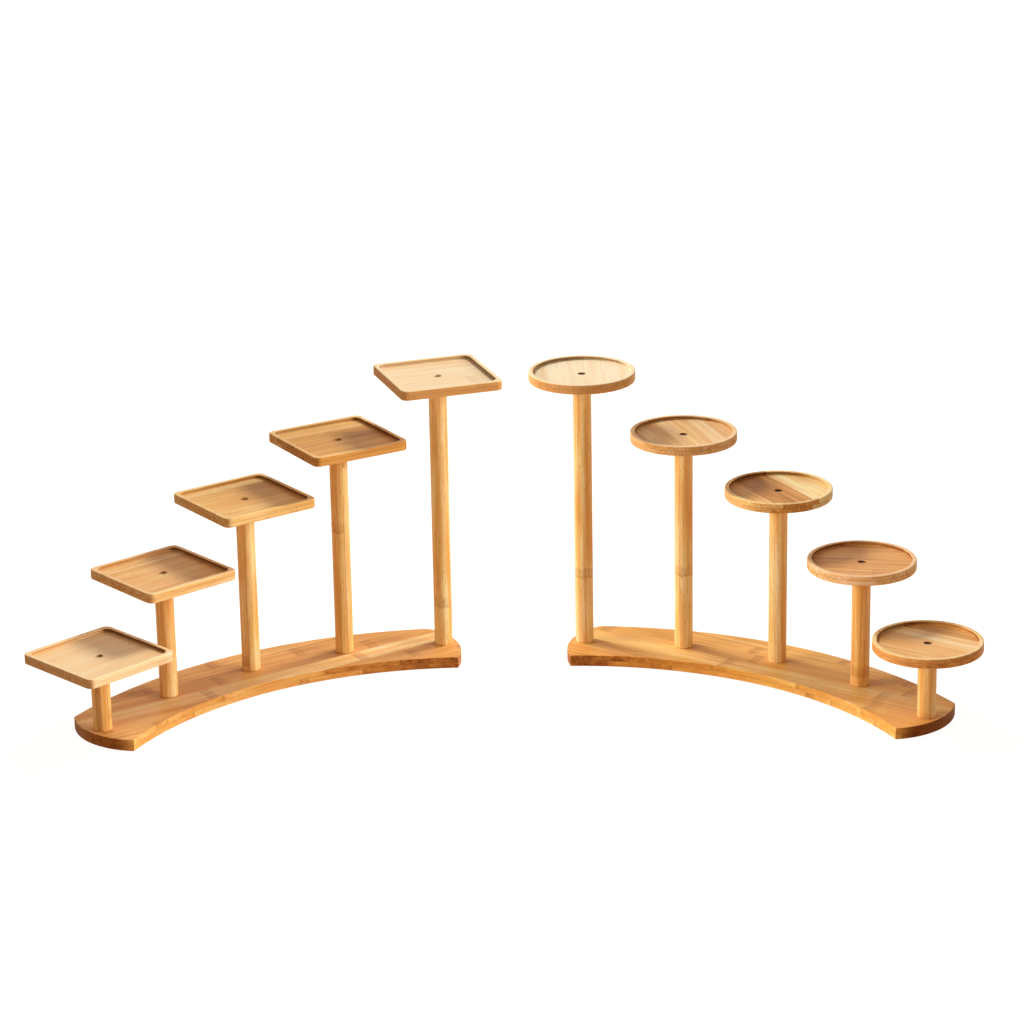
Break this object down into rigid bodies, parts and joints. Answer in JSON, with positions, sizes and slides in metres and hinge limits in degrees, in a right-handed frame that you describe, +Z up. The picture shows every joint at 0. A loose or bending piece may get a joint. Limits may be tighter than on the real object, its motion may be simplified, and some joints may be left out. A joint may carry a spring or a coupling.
{
  "type": "desktop plant stand",
  "caption": "Pair of stepped bamboo plant stands, each a curved plate with round posts carrying small rimmed trays, square on one and round on the other.",
  "frame": {"origin": "on the table, below the middle of the box round both stands", "axes": "+X along the row from the square trays to the round ones, +Y to the back, where both plates bulge, +Z up"},
  "size_m": [0.9032, 0.3466, 0.295],
  "materials": {
    "base_bamboo": "strips of bamboo side by side under a clear satin lacquer",
    "post_bamboo": "upright strips of bamboo turned round, clear satin lacquer",
    "tray_bamboo": "two plies of pressed bamboo, milled, clear satin lacquer",
    "screw_steel": "zinc-plated"
  },
  "bodies": {
    "square_stand": {"square_base": "base_bamboo", "square_post_1": "post_bamboo", "square_post_2": "post_bamboo", "square_post_3": "post_bamboo", "square_post_4": "post_bamboo", "square_post_5": "post_bamboo", "square_tray_screws": "screw_steel", "square_base_screws": "screw_steel"},
    "round_stand": {"round_base": "base_bamboo", "round_post_1": "post_bamboo", "round_post_2": "post_bamboo", "round_post_3": "post_bamboo", "round_post_4": "post_bamboo", "round_post_5": "post_bamboo", "round_tray_screws": "screw_steel", "round_base_screws": "screw_steel"},
    "square_tray_1": {"square_tray_1": "tray_bamboo"},
    "square_tray_2": {"square_tray_2": "tray_bamboo"},
    "square_tray_3": {"square_tray_3": "tray_bamboo"},
    "square_tray_4": {"square_tray_4": "tray_bamboo"},
    "square_tray_5": {"square_tray_5": "tray_bamboo"},
    "round_tray_1": {"round_tray_1": "tray_bamboo"},
    "round_tray_2": {"round_tray_2": "tray_bamboo"},
    "round_tray_3": {"round_tray_3": "tray_bamboo"},
    "round_tray_4": {"round_tray_4": "tray_bamboo"},
    "round_tray_5": {"round_tray_5": "tray_bamboo"}
  },
  "joints": [
    {"name": "stands_apart", "type": "slide", "parent": "square_stand", "child": "round_stand", "axis": [1, 0, 0], "range_m": [-0.015, 0.2]},
    {"name": "square_tray_1_turn", "type": "hinge", "parent": "square_stand", "child": "square_tray_1", "pos_m": [-0.3817, -0.10335, 0.0795], "axis": [0, 0, 1], "continuous": true},
    {"name": "square_tray_2_turn", "type": "hinge", "parent": "square_stand", "child": "square_tray_2", "pos_m": [-0.32667, -0.01927, 0.1315], "axis": [0, 0, 1], "continuous": true},
    {"name": "square_tray_3_turn", "type": "hinge", "parent": "square_stand", "child": "square_tray_3", "pos_m": [-0.25129, 0.04719, 0.1825], "axis": [0, 0, 1], "continuous": true},
    {"name": "square_tray_4_turn", "type": "hinge", "parent": "square_stand", "child": "square_tray_4", "pos_m": [-0.16098, 0.09124, 0.2275], "axis": [0, 0, 1], "continuous": true},
    {"name": "square_tray_5_turn", "type": "hinge", "parent": "square_stand", "child": "square_tray_5", "pos_m": [-0.0622, 0.10972, 0.2855], "axis": [0, 0, 1], "continuous": true},
    {"name": "round_tray_1_turn", "type": "hinge", "parent": "round_stand", "child": "round_tray_1", "pos_m": [0.39913, -0.10335, 0.0795], "axis": [0, 0, 1], "continuous": true},
    {"name": "round_tray_2_turn", "type": "hinge", "parent": "round_stand", "child": "round_tray_2", "pos_m": [0.3441, -0.01927, 0.1315], "axis": [0, 0, 1], "continuous": true},
    {"name": "round_tray_3_turn", "type": "hinge", "parent": "round_stand", "child": "round_tray_3", "pos_m": [0.26873, 0.04719, 0.1825], "axis": [0, 0, 1], "continuous": true},
    {"name": "round_tray_4_turn", "type": "hinge", "parent": "round_stand", "child": "round_tray_4", "pos_m": [0.17841, 0.09124, 0.2275], "axis": [0, 0, 1], "continuous": true},
    {"name": "round_tray_5_turn", "type": "hinge", "parent": "round_stand", "child": "round_tray_5", "pos_m": [0.07963, 0.10972, 0.2855], "axis": [0, 0, 1], "continuous": true}
  ]
}
